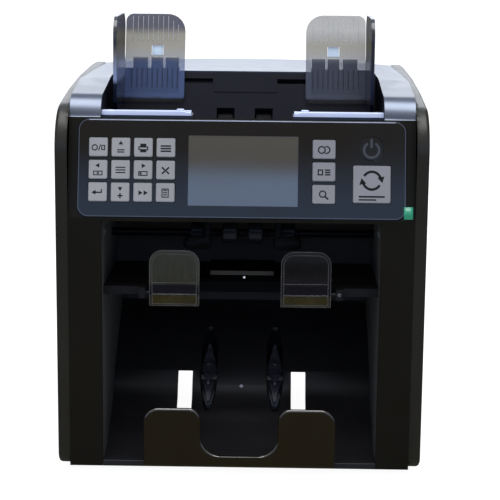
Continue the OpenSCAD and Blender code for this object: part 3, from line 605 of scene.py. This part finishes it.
LEGENDS = {
    "key_1": ring(-2.6, 0, 1.5, 2.3) + [stroke(0.2, -2.2, 1.6, 2.2, 0.7)]
             + outline_box(2.2, -1.9, 5, 1.9, 0.7),
    "key_2": [arrow(0, 3.3, 1.9, 90)] + rows(-2.6, 2.6, (-3.6, -2.0)),
    "key_3": outline_box(-3.6, -1.7, 3.6, 1.1, 0.8)
             + [box2(-2.2, 1.1, 2.2, 3.1), box2(-2.2, -3.2, 2.2, -1.7)],
    "key_4": rows(-3.8, 3.8, (-2.8, -0.9, 1.0), 1.1),
    "key_5": [arrow(0, 3.3, 1.9, 180)] + outline_box(-3.4, -4, 3.4, -0.6, 0.7)
             + [disc(0, -2.3, 0.8, 12)],
    "key_6": rows(-3.6, 3.6, (-2.2, -0.3, 1.6), 0.8),
    "key_7": [arrow(0, 3.3, 1.9, 0)] + outline_box(-3.4, -4, 3.4, -0.6, 0.7)
             + [box2(-2.4, -3, -1.0, -1.6)],
    "key_8": [stroke(-2.6, -2.4, 2.6, 2.4, 1.1), stroke(-2.6, 2.4, -0.6, 0.5, 1.1),
              stroke(0.6, -0.5, 2.6, -2.4, 1.1)],
    "key_9": [arrow(-2.4, 0, 2.0, 180), box2(-2, -0.45, 3.2, 0.45), box2(2.4, -0.45, 3.2, 2.4)],
    "key_10": [arrow(0, 3.0, 1.9, 270), box2(-0.5, -4.2, 0.5, -0.4), box2(-1.9, -2.8, -0.5, -1.8),
               box2(0.5, -2.8, 1.9, -1.8)],
    "key_11": [arrow(-2.0, 0, 2.0, 0), arrow(1.8, 0, 2.0, 0)],
    "key_12": outline_box(-2.6, -3.3, 2.6, 3.3, 0.7) + rows(-1.4, 1.4, (-1.6, 0.0, 1.6), 0.7),
    "mode_key_1": ring(-1.7, 0, 2.0, 2.9) + [band(1.7, 0, 2.0, 2.9, -112, 112)],
    "mode_key_2": outline_box(-4.6, -2.2, -0.6, 2.2, 0.9) + rows(0.7, 4.7, (-2.2, -0.5, 1.2), 1.0),
    "mode_key_3": ring(-0.8, 0.6, 1.8, 2.7) + [stroke(1.0, -1.2, 3.2, -3.3, 1.1)],
    "restart_key": [band(0, 3.2, 5.6, 7.4, 20, 150), band(0, 3.2, 5.6, 7.4, 200, 330),
                    arrow(6.9, 4.4, 3.0, -78), arrow(-6.9, 2.0, 3.0, 102),
                    box2(-9.4, -9.2, 9.4, -8.0), box2(-9.4, -11.4, 3.2, -10.4)],
}
INK_HEIGHT = 0.06


def add_legends():
    """Raised ink on each key."""
    for key, outlines in LEGENDS.items():
        ink = prisms(outlines, -0.02, INK_HEIGHT)
        piece(f"{key}_legend", ink, INK, key, on_slope(key, KEY_PROUD))


def add_power_symbol():
    """Open ring with an upright stroke, raised on the power key."""
    outlines = [band(0, -0.8, 4.6, 6.4, 120, 420, 30), box2(-0.95, 0.8, 0.95, 7.4)]
    place = on_slope("power_key", POWER_KEY_PROUD)
    piece("power_symbol", prisms(outlines, -0.05, 0.35), SYMBOL, "power_key", place, bevel=0.12)


# ---- Small pieces ----


def add_fascia_edge_highlights():
    """Painted highlight along the fascia's upper edge, and a dimmer painted highlight round its sides and
    foot.
    """
    half = FASCIA_HI[0] / MM - 0.5
    low, top = 0.4, FASCIA_LENGTH / MM - 0.5
    corner, line = 7.5, 0.55
    lit = [box2(corner - half, top - line, half - corner, top)]
    dim = [box2(corner - half, low, half - corner, low + line)]
    for side, low_start, top_start in ((-1, 180, 90), (1, 270, 0)):
        x0, x1 = sorted((side * half, side * (half - line)))
        dim.append(box2(x0, low + corner, x1, top - corner))
        for y, start in ((low + corner, low_start), (top - corner, top_start)):
            dim.append(band(side * (half - corner), y, corner - line, corner, start, start + 90))
    piece("fascia_top_painted_highlight", prisms(lit, -0.05, 0.12), FASCIA_TOP_HIGHLIGHT, "housing", ON_FASCIA)
    piece("fascia_edge_painted_highlight", prisms(dim, -0.05, 0.12), FASCIA_EDGE_HIGHLIGHT, "housing", ON_FASCIA)


def add_film_tab():
    """Pull tab of the screen film, stuck to the panel's lower corner and curling up outwards."""
    lower, upper, thick = 0.6, 9.6, 0.1
    steps = [(0.0, 0.12), (2.2, 0.16), (4.4, 0.3), (6.6, 0.7)]

    def build(bm):
        top, low = [
            [(bm.verts.new((x, lower, lift - t)), bm.verts.new((x, upper, lift - t))) for x, lift in steps]
            for t in (0, thick)
        ]
        for sheet in (top, low):
            for a, b in zip(sheet, sheet[1:]):
                bm.faces.new((a[0], b[0], b[1], a[1]))
        for i in range(len(steps) - 1):
            for side in (0, 1):
                bm.faces.new((top[i][side], top[i + 1][side], low[i + 1][side], low[i][side]))
        for i in (0, -1):
            bm.faces.new((top[i][0], top[i][1], low[i][1], low[i][0]))

    place = ON_FASCIA @ Matrix.Translation((FASCIA_HI[0] - 1.6 * MM, 0, 0))
    piece("film_tab", build, FILM, "housing", place, smooth=True)


def dome(radius, height):
    """Builder for a low round lens."""

    def build(bm):
        bmesh.ops.create_uvsphere(bm, u_segments=20, v_segments=10, radius=radius)
        for v in bm.verts:
            v.co.z = max(v.co.z, 0) * height / radius

    return build


def in_pocket(x, back, z):
    """Places a piece that faces the front, back from the foremost plane of the frame, in millimetres."""
    return facing_front(x * MM, FRONT_Y + back * MM, z * MM)


def add_pocket_details():
    """Both lamps, the edge of the sensor bar, the wall behind the fans and the end of the flaps' rod."""
    piece("shelf_lamp", dome(0.9, 0.7), LENS, "housing", in_pocket(1.7, 60.5, 138.4))
    edge = prisms([box2(-24.4, 140.7, 24.4, 143.9)], 0, 0.2)
    piece("shelf_bar_edge", edge, BAR_EDGE, "housing", in_pocket(0, 58, 0), bevel=0.1)
    wall = prisms([box2(-37, 6, 37, 90)], 0, 1)
    piece("fan_chamber_wall", wall, INNER, "housing", in_pocket(0, 163, 0))
    piece("stacker_lamp", dome(1.5, 0.8), DIM_LENS, "housing", in_pocket(-0.2, 83.1, 44.6))
    piece("right_rod_end", dome(1.5, 0.8), FLAP_LINE, "housing", in_pocket(73, 6, 137))


def flap_frame(x0, x1, z0, z1, radius, line):
    """Closed moulded line round a flap: square foot, round shoulders."""
    return [
        box2(x0, z0, x0 + line, z1 - radius), box2(x1 - line, z0, x1, z1 - radius),
        band(x0 + radius, z1 - radius, radius - line, radius, 90, 180),
        band(x1 - radius, z1 - radius, radius - line, radius, 0, 90),
        box2(x0 + radius, z1 - line, x1 - radius, z1), box2(x0 + line, z0, x1 - line, z0 + line),
    ]


def add_flap_trim():
    """Moulded lines, cross lines and olive foot of each clear flap."""
    inner = 2.1
    for hand in ("left", "right"):
        lo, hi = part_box(f"{hand}_flap")
        x0, x1 = lo[0] / MM, hi[0] / MM
        z0, z1 = lo[2] / MM, hi[2] / MM
        lines = flap_frame(x0 + 0.3, x1 - 0.3, z0 + 0.5, z1 - 0.3, 9.6, 0.3)
        lines += flap_frame(x0 + inner, x1 - inner, z0 + 1.6, z1 - 2.6, 8.0, 0.4)
        cross, foot_side = inner + 0.4, inner + 0.5
        lines += [box2(x0 + cross, z, x1 - cross, z + 0.35) for z in (z0 + 8.7, z0 + 17.6)]
        front = facing_front(0, lo[1], 0)
        piece(f"{hand}_flap_lines", prisms(lines, -0.05, 0.12), FLAP_LINE, f"{hand}_flap", front)
        foot = prisms([box2(x0 + foot_side, z0 + 2.1, x1 - foot_side, z0 + 8.4)], -0.05, 0.1)
        piece(f"{hand}_flap_foot", foot, FLAP_FOOT, f"{hand}_flap", front)


def add_guide_ribs():
    """Painted highlights on the rib edges and round the carrier's tabs, the same rib edges in painted shade
    over the carrier, and the latch on each clear guide plate.
    """
    ribs, first, pitch, half, line = 10, 53.5, 4, 0.3, 0.4
    short_tops = {0: 111, 1: 114}
    low, high = 77, 85.2
    for hand, side in (("left", -1), ("right", 1)):
        light, dim = [], []
        for i in range(ribs):
            x = side * (first + pitch * i)
            light.append(box2(x - half, 98.3, x + half, short_tops.get(i, 118)))
            dim.append(box2(x - half, 60.3, x + half, 75.7))
        for near, far in ((52.2, 63.7), (64.8, 74.9), (76.8, 89.2)):
            x0, x1 = sorted((side * near, side * far))
            light += [box2(x0, low, x0 + line, high), box2(x1 - line, low, x1, high),
                      box2(x0 + line, high - line, x1 - line, high)]
        guide = f"{hand}_guide"
        piece(f"{guide}_rib_edges", prisms(light, 4.4, 4.95), RIB_EDGE_HIGHLIGHT, guide, ON_GUIDES)
        piece(f"{guide}_low_rib_edges", prisms(dim, 4.4, 4.95), RIB_EDGE_SHADE, guide, ON_GUIDES)
        x0, x1 = sorted((side * 65.3, side * 74.2))
        latch = prisms([box2(x0, 86.8, x1, 94.7)], 2.6, 3.2)
        piece(f"{guide}_latch", latch, LATCH, guide, ON_GUIDES)


def add_inlet_pins():
    """Three contact pins in the recess of the appliance inlet."""
    lo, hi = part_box("power_inlet")
    x, y, z = lo[0] + 18 * MM, hi[1] - 14 * MM, (lo[2] + hi[2]) / 2
    pin = prisms([box2(-1, -2, 1, 2)], -1, 9)
    for i, (dx, dz) in enumerate(((-7, -2), (0, 3), (7, -2))):
        place = facing_rear(x + dx * MM, y, z + dz * MM)
        piece(f"inlet_pin_{i + 1}", pin, BRASS, "housing", place, bevel=0.3)


def add_rear_details():
    """Blank rating plate and raised grip frame on the rear cover."""
    lo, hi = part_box("rear_cover")
    rear = facing_rear(0, hi[1], 0)
    plate = [box2(-30, lo[2] / MM + 26, 30, lo[2] / MM + 58)]
    piece("rear_plate", prisms(plate, -0.05, 0.25), ALUMINIUM, "rear_cover", rear, bevel=0.1)
    grip = outline_box(-26, hi[2] / MM - 18, 26, hi[2] / MM - 1.5, 1.6)
    piece("rear_grip_frame", prisms(grip, -0.1, 0.5), CASE, "rear_cover", rear, bevel=0.2)


def tread(half, radius):
    """Builder for a ring of grooved tread round the X axis, with chamfered sides."""
    count, proud, chamfer = 40, 0.28, 0.5

    def build(bm):
        loops = []
        for x, lift in ((-half, 0.0), (-half + chamfer, proud), (half - chamfer, proud), (half, 0.0)):
            loop = []
            for k in range(count):
                angle = 2 * math.pi * k / count
                r = radius + (lift if k % 2 else lift * 0.4)
                loop.append(bm.verts.new((x, r * math.cos(angle), r * math.sin(angle))))
            loops.append(loop)
        for a, b in zip(loops, loops[1:]):
            for k in range(count):
                n = (k + 1) % count
                bm.faces.new((a[k], a[n], b[n], b[k]))

    return build


def add_treads():
    """Tread on the exit rollers and on the pickup rollers, which show."""
    for shaft, xs, half, radius, material in (
        ("exit_shaft", (-35, -10, 10, 35), 5.2, 8.0, EXIT_ROLLER),
        ("pickup_shaft", (-15.1, 15.1), 5.0, 14.0, ROLLER),
    ):
        axis = middle(shaft)
        for i, x in enumerate(xs):
            place = Matrix.Translation((x * MM, axis.y, axis.z))
            piece(f"{shaft}_tread_{i + 1}", tread(half, radius), material, shaft, place)


# ---- Studio ----


def add_floor():
    """Pale floor that glows, so that it looks white on every side of the machine."""
    half = 30.0
    mesh = bpy.data.meshes.new("floor")
    mesh.from_pydata([(x, y, 0) for x, y in box2(-half, -half, half, half)], [], [(0, 1, 2, 3)])
    floor = bpy.data.objects.new("floor", mesh)
    bpy.context.scene.collection.objects.link(floor)
    s = Shader("floor").set(Base_Color=(0.25, 0.25, 0.25, 1), Roughness=0.9, Emission_Color=(1, 1, 1, 1))
    s.set(Emission_Strength=0.95, Specular_IOR_Level=0.1)
    mesh.materials.append(s.material)
    floor.visible_glossy = False


def add_world():
    """Dim room in front with a blue band of windows; behind, a bright screen between dark sides."""
    world = bpy.data.worlds.new("studio")
    bpy.context.scene.world = world
    world.use_nodes = True
    tree = world.node_tree
    background = tree.nodes["Background"]
    coords = tree.nodes.new("ShaderNodeTexCoord")
    parts = tree.nodes.new("ShaderNodeSeparateXYZ")
    tree.links.new(coords.outputs["Generated"], parts.inputs["Vector"])

    def ramp(axis, stops):
        """Colours along one axis of the view direction, which runs from -1 to 1."""
        remap = tree.nodes.new("ShaderNodeMapRange")
        remap.inputs["From Min"].default_value = -1
        remap.inputs["From Max"].default_value = 1
        tree.links.new(parts.outputs[axis], remap.inputs["Value"])
        node = tree.nodes.new("ShaderNodeValToRGB")
        while len(node.color_ramp.elements) < len(stops):
            node.color_ramp.elements.new(0.5)
        for element, (position, colour) in zip(node.color_ramp.elements, stops):
            element.position = (position + 1) / 2
            element.color = (*colour, 1)
        tree.links.new(remap.outputs["Result"], node.inputs["Fac"])
        return node.outputs["Color"]

    def blend(factor, dark, light):
        """The dark colour where the factor is 0, the light one where it is 1."""
        mix = tree.nodes.new("ShaderNodeMix")
        mix.data_type = "RGBA"
        tree.links.new(factor, mix.inputs["Factor"])
        for socket, value in (("A", dark), ("B", light)):
            if isinstance(value, tuple):
                mix.inputs[socket].default_value = value
            else:
                tree.links.new(value, mix.inputs[socket])
        return mix.outputs["Result"]

    def product(a, b):
        """Two factors multiplied, so that both have to be there."""
        node = tree.nodes.new("ShaderNodeMath")
        node.operation = "MULTIPLY"
        tree.links.new(a, node.inputs[0])
        tree.links.new(b, node.inputs[1])
        return node.outputs["Value"]

    black, white = (0, 0, 0), (1, 1, 1)
    window_blue, dark_sides = (0.54, 0.74, 1.14), (0.11, 0.105, 0.085, 1)
    room = ramp("Z", [
        (-1.0, (0.22, 0.22, 0.25)), (-0.72, (0.18, 0.185, 0.20)), (-0.5, (0.06, 0.06, 0.055)),
        (0.0, (0.05, 0.05, 0.05)), (0.06, window_blue), (0.335, window_blue),
        (0.36, (0.31, 0.28, 0.25)), (1.0, (1.2, 1.25, 1.4))])
    behind = ramp("Y", [(-0.05, black), (0.35, white)])
    above = ramp("Z", [(0.0, black), (0.05, white)])
    right_of_left_side = ramp("X", [(-0.62, black), (-0.3, white)])
    left_of_right_side = ramp("X", [(0.12, white), (0.35, black)])
    screen = ramp("Z", [(0.2, (0.80, 0.90, 1.08)), (0.6, (0.56, 0.64, 0.78))])
    opening = product(product(right_of_left_side, left_of_right_side), above)
    rear = blend(opening, dark_sides, screen)
    tree.links.new(blend(behind, room, rear), background.inputs["Color"])
    background.inputs["Strength"].default_value = 1.15


def add_softbox(name, place, aim, size, power):
    """Rectangular soft light at a place, turned to an aim."""
    light = bpy.data.lights.new(name, "AREA")
    light.shape = "RECTANGLE"
    light.size, light.size_y = size
    light.energy = power
    holder = bpy.data.objects.new(name, light)
    bpy.context.scene.collection.objects.link(holder)
    holder.location = place
    holder.rotation_euler = (Vector(aim) - Vector(place)).to_track_quat("-Z", "Y").to_euler()


def add_camera():
    """Long-lens camera a little above the machine and to the right of its middle."""
    yaw, pitch, roll = math.radians(0.73), math.radians(10.8), math.radians(0.575)
    look = Vector((-math.sin(yaw) * math.cos(pitch), math.cos(yaw) * math.cos(pitch), -math.sin(pitch)))
    right = Vector((math.cos(yaw), math.sin(yaw), 0))
    up = right.cross(look)
    right_rolled = right * math.cos(roll) + up * math.sin(roll)
    up_rolled = up * math.cos(roll) - right * math.sin(roll)
    data = bpy.data.cameras.new("camera")
    data.lens = 109.97
    data.sensor_width = 36
    camera = bpy.data.objects.new("camera", data)
    bpy.context.scene.collection.objects.link(camera)
    axes = Matrix((right_rolled, up_rolled, -look)).transposed().to_4x4()
    camera.matrix_world = Matrix.Translation((0.0207, FRONT_Y - 1.0971, 0.3808)) @ axes
    bpy.context.scene.camera = camera


for node_name, node_object in NODES.items():
    dress_node(node_name, node_object)
add_camera()
add_legends()
add_power_symbol()
add_fascia_edge_highlights()
add_film_tab()
add_pocket_details()
add_flap_trim()
add_guide_ribs()
add_inlet_pins()
add_rear_details()
add_treads()
add_floor()
add_world()
add_softbox("overhead", (0.0, -0.25, 1.7), (0, 0, 0.15), (1.4, 1.0), 26)
add_softbox("rear low", (0.0, 1.6, 0.9), (0, 0.1, 0.0), (1.6, 0.8), 7)
bpy.context.scene.view_settings.view_transform = "Standard"
